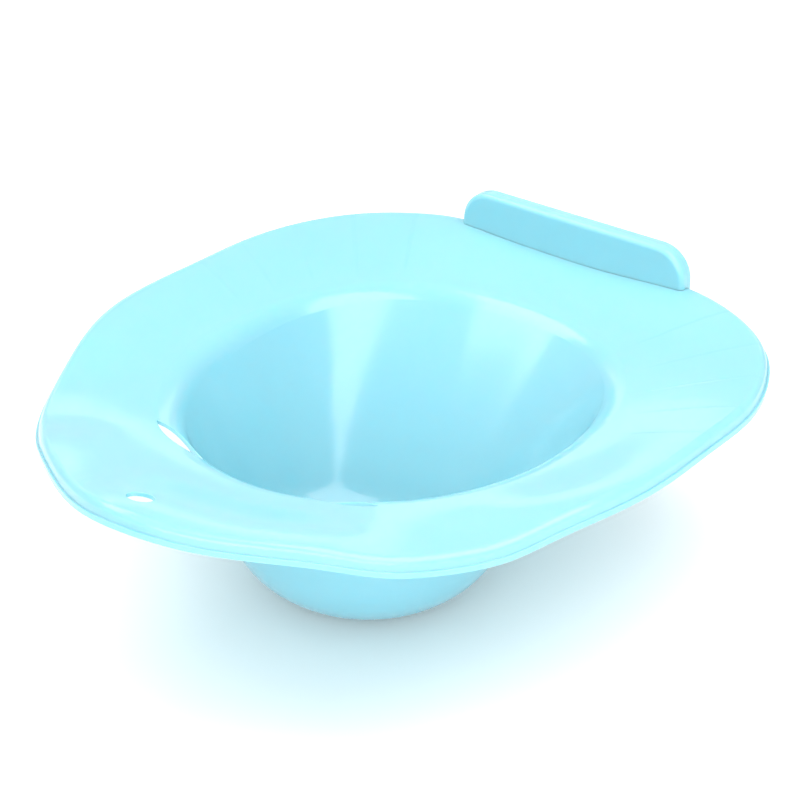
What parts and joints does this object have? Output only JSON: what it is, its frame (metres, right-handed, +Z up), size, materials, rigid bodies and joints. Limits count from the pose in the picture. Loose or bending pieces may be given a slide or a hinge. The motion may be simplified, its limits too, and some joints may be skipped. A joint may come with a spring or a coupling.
{
  "type": "sitz bath basin",
  "caption": "Over-the-toilet sitz bath basin: a round-bottomed bowl in a broad saddle-shaped seat flange with a turned-down rim, hanging hole, overflow slots and a clip-on back grip.",
  "frame": {"origin": "middle of the footprint, at the level of the bowl's flat foot", "axes": "+Z up, +Y towards the back grip, +X to the sitter's left"},
  "size_m": [0.353, 0.4044, 0.15],
  "materials": {
    "basin_plastic": "glossy light blue, slightly translucent",
    "grip_plastic": "glossy light blue"
  },
  "bodies": {
    "root": {"basin": "basin_plastic", "back_grip": "grip_plastic"}
  },
  "joints": []
}
